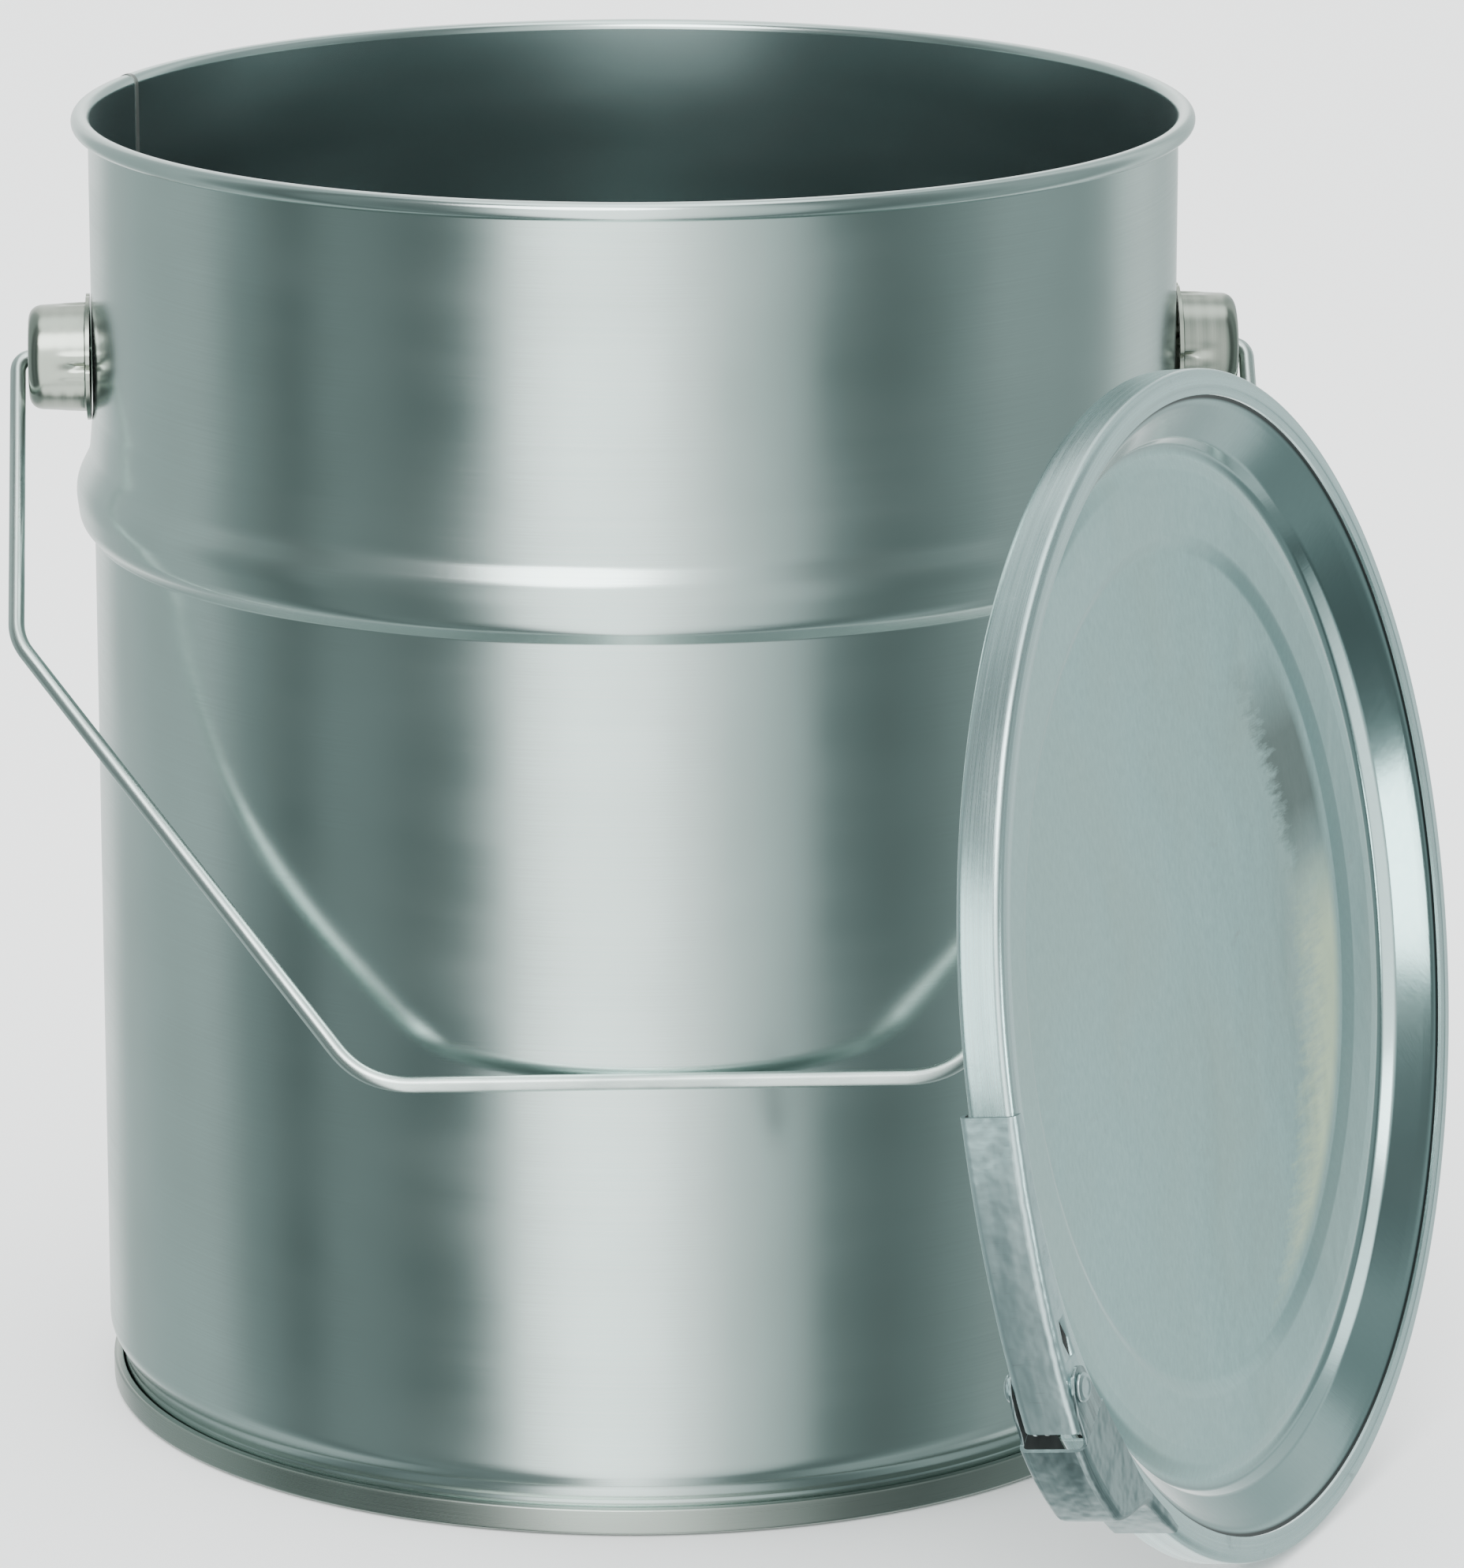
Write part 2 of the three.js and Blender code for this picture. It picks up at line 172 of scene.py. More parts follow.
# ---- Mesh building ----
def finish_mesh(name, bm, place, body, material, sharp=35):
    """Turns a bmesh in millimetres into a piece that rides on a body."""
    bmesh.ops.recalc_face_normals(bm, faces=bm.faces)
    bmesh.ops.remove_doubles(bm, verts=bm.verts, dist=1e-4)
    bmesh.ops.recalc_face_normals(bm, faces=bm.faces)
    bmesh.ops.scale(bm, vec=(MM, MM, MM), verts=bm.verts)
    bmesh.ops.transform(bm, matrix=place, verts=bm.verts)
    mesh = bpy.data.meshes.new(name)
    bm.to_mesh(mesh)
    bm.free()
    mesh.shade_smooth()
    mesh.set_sharp_from_angle(angle=math.radians(sharp))
    piece = bpy.data.objects.new(name, mesh)
    bpy.context.scene.collection.objects.link(piece)
    mesh.materials.append(material)
    if body:
        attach(piece, body)
    return piece


def uv_layers(bm):
    """The two UV layers, in metres: along and round a sheet, and flat across a piece's own axis."""
    layers = bm.loops.layers.uv
    return [layers.get(name) or layers.new(name) for name in ("flow", "sheet")]


def skin(bm, rings, closed_way, cap, flow):
    """Faces between rings of points. flow gives the (u, v) in metres of a ring and a point."""
    along, across = uv_layers(bm)
    count = len(rings[0])
    verts = [[bm.verts.new(point) for point in ring] for ring in rings]
    spans = len(rings) if closed_way else len(rings) - 1
    for i in range(spans):
        for k in range(count):
            corners = ((i, k), (i + 1, k), (i + 1, k + 1), (i, k + 1))
            face = bm.faces.new([verts[a % len(rings)][b % count] for a, b in corners])
            for loop, (a, b) in zip(face.loops, corners):
                loop[along].uv = flow(a, b)
                loop[across].uv = loop.vert.co.xy * MM
    if cap:
        for ring in (verts[0], verts[-1]):
            face = bm.faces.new(ring)
            for loop in face.loops:
                loop[along].uv = loop.vert.co.xy * MM
                loop[across].uv = loop.vert.co.xy * MM


def lengths(outline):
    """The distance along a closed outline to each of its points, and back to the first."""
    total = [0.0]
    for i, point in enumerate(outline):
        total.append(total[-1] + (outline[(i + 1) % len(outline)] - point).length * MM)
    return total


def lathe(bm, outline, start=0.0, end=360.0, segments=FINE, reshape=None):
    """Adds a turned solid, or a stretch of one, about Z."""
    full = abs(end - start) > 359.9
    rings = []
    for i in range(segments if full else segments + 1):
        angle = math.radians(start + (end - start) * i / segments)
        ring = [Vector((p.x * math.cos(angle), p.x * math.sin(angle), p.y)) for p in outline]
        rings.append([reshape(point) for point in ring] if reshape else ring)
    run = lengths(outline)
    radius = max(p.x for p in outline) * MM
    step = math.radians(end - start) / segments * radius
    skin(bm, rings, full, not full, lambda i, k: (math.radians(start) * radius + i * step, run[k]))
    return bm


def tube(bm, path, radius, sides=20):
    """Adds a round rod along a path of 3-D points."""
    rings = []
    normal = (path[1] - path[0]).orthogonal().normalized()
    for i, here in enumerate(path):
        ahead = path[min(i + 1, len(path) - 1)] - path[max(i - 1, 0)]
        tangent = ahead.normalized()
        normal = (normal - tangent * normal.dot(tangent)).normalized()
        side = tangent.cross(normal)
        turns = [2 * math.pi * k / sides for k in range(sides)]
        rings.append([here + (normal * math.cos(t) + side * math.sin(t)) * radius for t in turns])
    run = [0.0]
    for a, b in zip(path, path[1:]):
        run.append(run[-1] + (b - a).length * MM)
    girth = 2 * math.pi * radius * MM / sides
    skin(bm, rings, False, True, lambda i, k: (run[i], k * girth))
    return bm


def plate(bm, outline, low, high, bevel=0.15):
    """Adds a flat plate with softened edges: an outline round Z, from one height to another."""
    own = bmesh.new()
    verts = [own.verts.new((p.x, p.y, low)) for p in outline]
    face = own.faces.new(verts)
    raised = bmesh.ops.extrude_face_region(own, geom=[face])["geom"]
    moved = [v for v in raised if isinstance(v, bmesh.types.BMVert)]
    bmesh.ops.translate(own, vec=(0, 0, high - low), verts=moved)
    rims = [e for e in own.edges if len({round(v.co.z, 4) for v in e.verts}) == 1]
    bmesh.ops.bevel(own, geom=rims, offset=bevel, segments=2, profile=0.6, affect="EDGES")
    along, across = uv_layers(own)
    for face in own.faces:
        for loop in face.loops:
            x, y, z = loop.vert.co * MM
            loop[along].uv = (math.atan2(y, x) * math.hypot(x, y), math.hypot(x, y) + z)
            loop[across].uv = (x, y)
    mesh = bpy.data.meshes.new("plate")
    own.to_mesh(mesh)
    own.free()
    bm.from_mesh(mesh)
    bpy.data.meshes.remove(mesh)
    return bm


def polar(degrees, radius):
    """The point at an angle and a radius."""
    angle = math.radians(degrees)
    return Vector((radius * math.cos(angle), radius * math.sin(angle)))


def polar_outline(corners, steps=5):
    """A closed outline through (degrees, radius, bend) corners round the lid."""
    flat = [(*polar(degrees, radius), bend) for degrees, radius, bend in corners]
    around = [flat[-1], *flat, flat[0]]
    return rounded(around, steps)[1:-1]


def smooth_step(value, low, high):
    """Rises softly from 0 at low to 1 at high."""
    t = min(max((value - low) / (high - low), 0), 1)
    return t * t * (3 - 2 * t)


# ---- Materials ----
class Wiring:
    """A node tree being wired up."""

    def __init__(self, tree):
        self.nodes = tree.nodes
        self.links = tree.links

    def node(self, kind, **settings):
        """A new node, with its settings."""
        node = self.nodes.new(kind)
        for key, value in settings.items():
            setattr(node, key, value)
        return node

    def link(self, source, target):
        """Connects two sockets."""
        self.links.new(source, target)

    def math(self, operation, *values):
        """Arithmetic on numbers and sockets."""
        node = self.node("ShaderNodeMath", operation=operation)
        for socket, value in zip(node.inputs, values):
            if isinstance(value, (int, float)):
                socket.default_value = value
            else:
                self.link(value, socket)
        return node.outputs[0]

    def spread(self, value, low, high, new_low, new_high, interpolation="LINEAR"):
        """Maps the stretch from low to high onto the one from new_low to new_high, and stops there."""
        node = self.node("ShaderNodeMapRange", interpolation_type=interpolation)
        node.inputs["From Min"].default_value = low
        node.inputs["From Max"].default_value = high
        node.inputs["To Min"].default_value = new_low
        node.inputs["To Max"].default_value = new_high
        self.link(value, node.inputs["Value"])
        return node.outputs["Result"]

    def mix(self, factor, first, second):
        """A colour between two colours, which are sockets or (red, green, blue)."""
        node = self.node("ShaderNodeMix", data_type="RGBA")
        self.link(factor, node.inputs["Factor"])
        for socket, value in zip(node.inputs[6:8], (first, second)):
            if isinstance(value, tuple):
                socket.default_value = (*value, 1)
            else:
                self.link(value, socket)
        return node.outputs[2]


class Shader(Wiring):
    """A material being wired up, with detail that follows the sheet."""

    def __init__(self, name):
        self.material = bpy.data.materials.new(name)
        self.material.use_nodes = True
        super().__init__(self.material.node_tree)
        self.surface = self.nodes["Principled BSDF"]

    def scaled(self, vector, scale):
        """A vector times a scale."""
        mapping = self.node("ShaderNodeMapping")
        mapping.inputs["Scale"].default_value = scale
        self.link(vector, mapping.inputs["Vector"])
        return mapping.outputs["Vector"]

    def coordinates(self, uv, scale):
        """The piece's own sheet coordinates, in metres, scaled."""
        source = self.node("ShaderNodeUVMap", uv_map=uv)
        return self.scaled(source.outputs["UV"], scale)

    def space(self, scale):
        """The frame's own coordinates, in metres, scaled evenly."""
        source = self.node("ShaderNodeTexCoord")
        return self.scaled(source.outputs["Object"], (scale, scale, scale))

    def radius(self, uv):
        """The distance from the piece's own axis, in metres."""
        node = self.node("ShaderNodeVectorMath", operation="LENGTH")
        self.link(self.coordinates(uv, (1, 1, 0)), node.inputs[0])
        return node.outputs["Value"]

    def noise(self, vector, detail=3.0, roughness=0.5, distortion=0.0):
        """Noise over a vector, from 0 to 1."""
        node = self.node("ShaderNodeTexNoise")
        node.inputs["Scale"].default_value = 1.0
        node.inputs["Detail"].default_value = detail
        node.inputs["Roughness"].default_value = roughness
        node.inputs["Distortion"].default_value = distortion
        self.link(vector, node.inputs["Vector"])
        return node.outputs["Fac"]

    def bump(self, height, strength, distance, below=None):
        """Relief from a height, on top of another relief."""
        node = self.node("ShaderNodeBump")
        node.inputs["Strength"].default_value = strength
        node.inputs["Distance"].default_value = distance
        self.link(height, node.inputs["Height"])
        if below:
            self.link(below, node.inputs["Normal"])
        return node.outputs["Normal"]

    def finish(self, color, roughness, normal, metallic=1.0):
        """Wires up the surface and gives the material."""
        self.surface.inputs["Metallic"].default_value = metallic
        self.link(color, self.surface.inputs["Base Color"])
        self.link(roughness, self.surface.inputs["Roughness"])
        self.link(normal, self.surface.inputs["Normal"])
        return self.material


def tinplate_material(name, light, dark, gloss, metallic=1.0, grain_depth=0.1, stretch=0.5):
    """Bright tinplate: rolling lines along the sheet, a soft cloudy tint and faint scuffs.

    grain_depth is how rough the lines are, and stretch how far they draw out a reflection.
    """
    s = Shader(name)
    lines = s.noise(s.coordinates("flow", (12, 5200, 1)), detail=4, roughness=0.6)
    drift = s.noise(s.coordinates("flow", (9, 40, 1)), detail=2)
    clouds = s.noise(s.space(14), detail=3, roughness=0.55)
    scuffs = s.noise(s.coordinates("flow", (260, 900, 1)), detail=5, roughness=0.7, distortion=0.6)
    scuff = s.spread(scuffs, 0.66, 0.78, 0, 1)
    color = s.mix(s.spread(clouds, 0.35, 0.65, 0, 1), light, dark)
    color = s.mix(s.spread(lines, 0.3, 0.7, 0.0, 0.16), color, (0.42, 0.45, 0.44))
    rough = s.spread(drift, 0.3, 0.7, gloss - 0.03, gloss + 0.04)
    rough = s.math("ADD", rough, s.math("MULTIPLY", scuff, grain_depth))
    rough = s.math("ADD", rough, s.spread(lines, 0.3, 0.7, 0.0, grain_depth / 2))
    wave = s.bump(s.noise(s.space(9), detail=1), 0.16, 0.004)
    normal = s.bump(lines, grain_depth, 0.00006, wave)
    s.surface.inputs["Anisotropic"].default_value = stretch
    tangent = s.node("ShaderNodeTangent", direction_type="UV_MAP", uv_map="flow")
    s.link(tangent.outputs["Tangent"], s.surface.inputs["Tangent"])
    return s.finish(color, rough, normal, metallic)


# Distances from the lid's middle, in metres, across which its looks change.
LID_ZONES = {
    "middle": (0.0790, 0.0830),
    "land": (0.0838, 0.0866),
    "groove": (0.0980, 0.1030),
    "bright wall": (0.1025, 0.1065),
    # Painted shade at the foot of the drawn wall, in the bottom of the groove.
    "painted wall-foot shade": (0.1040, 0.1056),
    # Painted shade: a near-black line where the lid's edge goes under the ring's lip.
    "lip": (0.1144, 0.1150),
}


def dark_patch_and_painted_highlight(s, radius):
    """Masks of a ragged dark patch at the right of the lid's middle, and of a painted yellowish highlight
    below it.
    """
    across = s.node("ShaderNodeSeparateXYZ")
    s.link(s.coordinates("sheet", (1, 1, 1)), across.inputs[0])
    x, y, _ = across.outputs
    ragged = s.noise(s.coordinates("sheet", (90, 420, 1)), detail=6, roughness=0.7)
    curve = s.math("MULTIPLY", s.math("POWER", s.math("SUBTRACT", y, -0.004), 2), 6.5)
    edge = s.math("ADD", x, s.spread(ragged, 0.3, 0.7, -0.006, 0.006))
    edge = s.math("ADD", edge, curve)
    inside = s.spread(radius, *LID_ZONES["middle"], 1, 0)
    dark_patch = s.math("MULTIPLY", s.spread(edge, 0.0575, 0.0655, 0, 1), inside)
    dark_patch = s.math("MULTIPLY", dark_patch, s.spread(y, 0.034, 0.054, 1, 0))
    dark_patch = s.math("MULTIPLY", dark_patch, s.spread(y, 0.000, 0.018, 0, 0.9))
    # Painted highlight: a soft yellowish glint below the dark patch.
    painted_highlight = s.math("MULTIPLY", s.spread(edge, 0.0560, 0.0740, 0, 1), inside)
    painted_highlight = s.math("MULTIPLY", painted_highlight, s.spread(y, 0.008, -0.012, 0, 0.95))
    return dark_patch, painted_highlight


def lid_color(s, radius, mottle, clouds):
    """Mottled grey with stains, a ragged dark patch and a painted highlight, a lighter land, painted shade
    at the foot of the wall, and a line of painted shade under the lip.
    """
    stains = s.noise(s.coordinates("sheet", (60, 150, 1)), detail=6, roughness=0.65, distortion=0.8)
    color = s.mix(s.spread(mottle, 0.35, 0.65, 0, 1), (0.45, 0.655, 0.65), (0.39, 0.57, 0.57))
    color = s.mix(s.spread(clouds, 0.4, 0.7, 0, 0.45), color, (0.50, 0.61, 0.56))
    color = s.mix(s.spread(stains, 0.64, 0.74, 0, 0.4), color, (0.36, 0.40, 0.395))
    color = s.mix(s.spread(radius, *LID_ZONES["land"], 0, 0.25), color, (0.58, 0.74, 0.73))
    dark_patch, painted_highlight = dark_patch_and_painted_highlight(s, radius)
    color = s.mix(dark_patch, color, (0.15, 0.19, 0.18))
    # Painted highlight: the yellowish glint below the dark patch.
    color = s.mix(painted_highlight, color, (0.86, 1.0, 0.72))
    # Painted shade: a darker band at the foot of the drawn wall.
    color = s.mix(s.spread(radius, *LID_ZONES["painted wall-foot shade"], 0, 0.7), color, (0.29, 0.385, 0.385))
    # Painted shade: a near-black line under the ring's lip.
    return s.mix(s.spread(radius, *LID_ZONES["lip"], 0, 1), color, (0.02, 0.025, 0.025))


def lid_relief(s, radius, mottle, clouds):
    """The panel bows a little and waves softly, under a fine grain."""
    fine = s.noise(s.coordinates("sheet", (2600, 500, 1)), detail=3)
    bow = s.bump(s.math("POWER", radius, 2), 1.0, 0.5)
    soft = s.math("MULTIPLY", clouds, s.spread(radius, *LID_ZONES["groove"], 1, 0))
    wave = s.bump(soft, 0.13, 0.006, bow)
    return s.bump(s.math("ADD", mottle, fine), 0.12, 0.00006, wave)


def lid_material():
    """Matte tinplate, shinier on the drawn wall round the lid's panel."""
    s = Shader("lid_tinplate")
    radius = s.radius("sheet")
    mottle = s.noise(s.coordinates("sheet", (900, 380, 1)), detail=5, roughness=0.7)
    clouds = s.noise(s.coordinates("sheet", (26, 18, 1)), detail=3, distortion=0.4)
    rough = s.math("ADD", s.spread(clouds, 0.3, 0.7, 0.27, 0.34), s.spread(mottle, 0.3, 0.7, 0.0, 0.06))
    rough = s.math("MULTIPLY", rough, s.spread(radius, *LID_ZONES["bright wall"], 1.0, 0.5))
    return s.finish(lid_color(s, radius, mottle, clouds), rough, lid_relief(s, radius, mottle, clouds))


def zinc_material(name, light, dark, gloss, dents):
    """Galvanised strip: lengthwise streaks, fine speckle, darker rubbed spots and dents."""
    s = Shader(name)
    streaks = s.noise(s.coordinates("flow", (18, 2300, 1)), detail=4, roughness=0.65)
    bands = s.noise(s.coordinates("flow", (6, 520, 1)), detail=2)
    speckle = s.noise(s.coordinates("flow", (1500, 1900, 1)), detail=4, roughness=0.75)
    rubbed = s.noise(s.space(95), detail=5, roughness=0.7, distortion=0.5)
    color = s.mix(s.spread(bands, 0.35, 0.65, 0, 1), light, dark)
    color = s.mix(s.spread(streaks, 0.45, 0.75, 0, 0.5), color, (0.60, 0.72, 0.72))
    color = s.mix(s.spread(speckle, 0.58, 0.72, 0, 0.4), color, (0.34, 0.38, 0.39))
    color = s.mix(s.spread(rubbed, 0.64, 0.76, 0, 0.65), color, (0.27, 0.30, 0.31))
    rough = s.spread(streaks, 0.3, 0.7, gloss - 0.05, gloss + 0.07)
    rough = s.math("ADD", rough, s.spread(rubbed, 0.6, 0.75, 0, 0.1))
    hollows = s.bump(s.noise(s.space(150), detail=2), dents, 0.0012)
    ridges = s.bump(streaks, 0.2, 0.00012, hollows)
    normal = s.bump(speckle, 0.14, 0.0001, ridges)
    return s.finish(color, rough, normal)


def wire_material():
    """Drawn wire: die lines along its length and a few dull stretches."""
    s = Shader("bail_wire")
    lines = s.noise(s.coordinates("flow", (20, 6500, 1)), detail=3)
    dull = s.noise(s.coordinates("flow", (45, 200, 1)), detail=4, roughness=0.6)
    nicks = s.noise(s.coordinates("flow", (700, 900, 1)), detail=3, roughness=0.7)
    color = s.mix(s.spread(dull, 0.4, 0.65, 0, 1), (0.64, 0.73, 0.70), (0.50, 0.58, 0.56))
    color = s.mix(s.spread(nicks, 0.66, 0.76, 0, 0.5), color, (0.33, 0.35, 0.35))
    rough = s.math("ADD", s.spread(dull, 0.35, 0.7, 0.22, 0.34), s.spread(lines, 0.3, 0.7, 0, 0.05))
    normal = s.bump(lines, 0.2, 0.00005)
    return s.finish(color, rough, normal)


def rubber_and_painted_shade_material(name, light, dark):
    """Flowed-in rubber, or near-black painted shade: matte and slightly uneven."""
    s = Shader(name)
    clouds = s.noise(s.space(120), detail=4)
    color = s.mix(s.spread(clouds, 0.35, 0.65, 0, 1), light, dark)
    rough = s.spread(clouds, 0.3, 0.7, 0.62, 0.8)
    normal = s.bump(s.noise(s.space(900), detail=3), 0.3, 0.0001)
    return s.finish(color, rough, normal, metallic=0.0)


TINPLATE = tinplate_material("tinplate", (0.60, 0.71, 0.69), (0.54, 0.64, 0.615), 0.15)
# The inside: a rougher sheet with less stretch, and a darker base colour that is painted shade inside the
# pail.
INSIDE = tinplate_material(
    "tinplate_inside", (0.325, 0.42, 0.415), (0.28, 0.365, 0.36), 0.22,
    metallic=0.985, grain_depth=0.0, stretch=0.1,
)
SEAM_TINPLATE = tinplate_material("tinplate_seam", (0.38, 0.43, 0.39), (0.27, 0.30, 0.275), 0.24)
EAR_TINPLATE = tinplate_material("ear_tinplate", (0.33, 0.36, 0.31), (0.20, 0.225, 0.19), 0.17)
WELD_TINT = tinplate_material("weld_tint", (0.36, 0.37, 0.35), (0.27, 0.28, 0.27), 0.4)
LID_TINPLATE = lid_material()
ZINC_BAND = zinc_material("zinc_band", (0.60, 0.77, 0.77), (0.47, 0.61, 0.61), 0.27, dents=0.05)
ZINC_LEVER = zinc_material("zinc_lever", (0.58, 0.74, 0.75), (0.45, 0.58, 0.59), 0.34, dents=0.35)
ZINC_HOOD = zinc_material("zinc_hood", (0.31, 0.40, 0.405), (0.19, 0.25, 0.255), 0.34, dents=0.8)
LUG_STEEL = zinc_material("lug_steel", (0.20, 0.25, 0.25), (0.12, 0.15, 0.15), 0.4, dents=0.2)
RIVET_STEEL = zinc_material("rivet_steel", (0.56, 0.69, 0.70), (0.45, 0.57, 0.58), 0.3, dents=0.2)
WIRE = wire_material()
# Painted shade: near-black matte for the insides of the lever's and the hood's channels and the floor of the
# lever's slot.
PAINTED_SHADE = rubber_and_painted_shade_material("painted_shade", (0.022, 0.026, 0.026), (0.010, 0.012, 0.012))
GASKET = rubber_and_painted_shade_material("gasket_rubber", (0.055, 0.06, 0.058), (0.03, 0.034, 0.033))
COMPOUND = rubber_and_painted_shade_material("sealing_compound", (0.12, 0.15, 0.13), (0.08, 0.10, 0.09))


# ---- The pail ----
def wall_middle():
    """The wall's sheet, from its hook in the bottom seam to the end of the rolled rim."""
    bead = WALL + BEAD_PROUD
    return [
        *rounded([
            (113.3, 4.3),
            (113.3, 2.1, 0.5),
            (111.8, 2.1, 0.5),
            (111.8, 6.9, 2.0),
            (112.7, 9.8, 5.0),
            (WALL, 13.5, 6.0),
            (WALL, 90),
            (WALL, BEAD_LOW, 1.0),
            (bead - 0.9, BEAD_LOW + 3.4, 5.0),
            (bead, BEAD_LOW + 10.6, 9.0),
            (WALL + 0.9, BEAD_HIGH - 2.6, 9.0),
            (WALL, BEAD_HIGH + 7, 14.0),
            (WALL, 240),
        ], steps=8),
        *arc(WALL + ROLL, HEIGHT - ROLL - SHEET / 2, ROLL, 180, -95, 22),
    ]


def build_body():
    """The wall in one turned piece; its inner side is rougher, and darker with painted shade."""
    seam = SIDE_WELD["at"]
    bm = lathe(bmesh.new(), thicken(wall_middle(), SHEET), seam, seam + 360, FINEST)
    wall = finish_mesh("body_wall", bm, PAIL, "pail", TINPLATE)
    wall.data.materials.append(INSIDE)
    axis = PAIL.translation.xy
    rim = (HEIGHT - 3 * ROLL) * MM
    # Inner faces below the rim take the inside material, darkened with painted shade.
    for face in wall.data.polygons:
        outwards = face.center.xy - axis
        if face.normal.xy.dot(outwards) < 0 and face.center.z < rim:
            face.material_index = 1
    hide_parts("body_shell")


def build_side_weld():
    """The weld down the wall, from above the bottom seam over the rim, a little proud on both faces."""
    middle = [point for point in wall_middle() if point.y > SIDE_WELD["foot"]]
    strip = thicken(middle, SHEET + 2 * SIDE_WELD["raised"])
    start = SIDE_WELD["at"] - SIDE_WELD["half_width"]
    end = SIDE_WELD["at"] + SIDE_WELD["half_width"]
    bm = lathe(bmesh.new(), strip, start, end, segments=4)
    finish_mesh("side_weld", bm, PAIL, "pail", WELD_TINT)


def build_bottom():
    """The bottom end: a panel with two steps, a chuck wall, and a hook round the wall's foot."""
    chuck = 111.05
    cover = 114.1
    middle = rounded([
        (0, 4.8),
        (60, 4.8, 4),
        (64, 4.2, 4),
        (70, 4.2, 4),
        (74, 4.8, 4),
        (chuck - 12, 4.8, 3),
        (chuck - 9, 3.6, 2),
        (chuck - 1.2, 3.6, 1),
        (chuck, 2.4, 0.8),
        (chuck, 0.25, 0.6),
        (cover, 0.25, 0.6),
        (cover, 5.25, 0.5),
        (112.55, 5.25, 0.4),
        (112.55, 2.9),
    ], steps=6)
    bm = lathe(bmesh.new(), thicken(middle, BOTTOM_SHEET))
    bottom = finish_mesh("bottom_panel", bm, PAIL, "pail", SEAM_TINPLATE)
    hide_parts("bottom_end")


def build_seam_lining():
    """The ring of compound that seals the bottom seam."""
    section = rounded([(112, 0.8), (113.2, 0.8, 0.2), (113.2, 1.6, 0.2), (112, 1.6)], steps=3)
    bm = lathe(bmesh.new(), section)
    piece = finish_mesh("seam_lining", bm, PAIL, "pail", COMPOUND)
    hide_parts("seam_compound")


CREASES = ((-90, 0.95), (90, 0.85), (0, 0.5), (180, 0.5))      # degrees round an ear, and depth


def crimped(point):
    """Pinches the foot of an ear's cup at its four quarters, and leaves draw rings on its side."""
    x, y, z = point
    radius = math.hypot(x, y)
    on_the_side = radius >= 9 and z <= 12
    if not on_the_side:
        return point
    angle = math.degrees(math.atan2(y, x))
    depth = 0.012 * math.sin(z * 2.1)
    width = 2.2 + 0.5 * max(z, 0)
    for at, deep in CREASES:
        off = abs((angle - at + 180) % 360 - 180)
        pinch = math.exp(-(off / width) ** 2) * smooth_step(7.5 - z, 0, 5.5)
        bulge = math.exp(-((off - 10) / 4) ** 2) * smooth_step(9 - z, 0, 5)
        depth += deep * (pinch - 0.28 * bulge)
    return Vector((x * (1 - depth / radius), y * (1 - depth / radius), z))


def build_ear(name, side):
    """A pressed cup with a flange, a tapered side and a face dished in round its hole."""
    base = GAP + EAR["sheet"] / 2
    taper, dish = 0.45, 0.5
    middle = rounded([
        (EAR["flange"], base),
        (EAR["cup"], base, 0.9),
        (EAR["cup"] - taper, EAR["face"], EAR["corner"]),
        (EAR["hole"] + 2.2, EAR["face"] + 0.05, 1.5),
        (EAR["hole"], EAR["face"] - dish),
    ], steps=10)
    section = thicken(spread_out(middle, 0.7), EAR["sheet"])
    bm = lathe(bmesh.new(), section, segments=216, reshape=crimped)
    outward = PAIL.to_3x3() @ Vector((side, 0, 0))
    up = Vector((0, 0, 1))
    origin = PAIL @ Vector((side * EAR["out"] * MM, 0, EAR_HEIGHT * MM))
    place = place_matrix(up, outward.cross(up), outward, origin)
    piece = finish_mesh(f"{name}_cup", bm, place, "pail", EAR_TINPLATE)
    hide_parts(name)


# ---- The bail ----
def build_bail():
    """One wire: a stub in each ear, two straight arms, two slants and a level grip."""
    rest = math.asin((EAR["out"] + GAP + BAIL["wire"]) / BAIL["reach"])
    arm_x = BAIL["arm_x"]
    half = [
        (arm_x - BAIL["stub"], 0),
        (arm_x, 0, 3.8),
        (arm_x, BAIL["arm"], 13),
        (BAIL["grip"], BAIL["reach"], 19),
    ]
    flat = rounded([*half, *[(-p[0], *p[1:]) for p in reversed(half)]], steps=12)
    path = spread_out(flat, 6)
    swung = [Vector((p.x, -p.y * math.sin(rest), EAR_HEIGHT - p.y * math.cos(rest))) for p in path]
    bm = tube(bmesh.new(), swung, BAIL["wire"])
    piece = finish_mesh("bail_wire", bm, PAIL, "bail", WIRE)
    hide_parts("bail")


# ---- The lid ----
def build_lid():
    """The lid's sheet: a panel and a land, the groove, the wall and the edge under the ring."""
    middle = rounded([
        (0, -11),
        (82, -11),
        (84.6, -11, 3),
        (87.4, -9.7, 3),
        (101.2, -9.7, 3),
        (104.4, -11.1, 2.6),
        (106.3, -10.6, 1.6),
        (107.5, -7.7, 2.2),
        (112.2, -3.2, 6),
        (114.3, -1.3, 3),
        (117.6, -1.3, 2),
        (119.7, -2.4, 2),
        (119.7, -5.8),
    ], steps=7)
    bm = lathe(bmesh.new(), thicken(middle, SHEET), SPLIT, SPLIT + 360, FINEST)
    sheet = finish_mesh("lid_sheet", bm, LID, "lid", LID_TINPLATE)
    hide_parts("lid_panel")


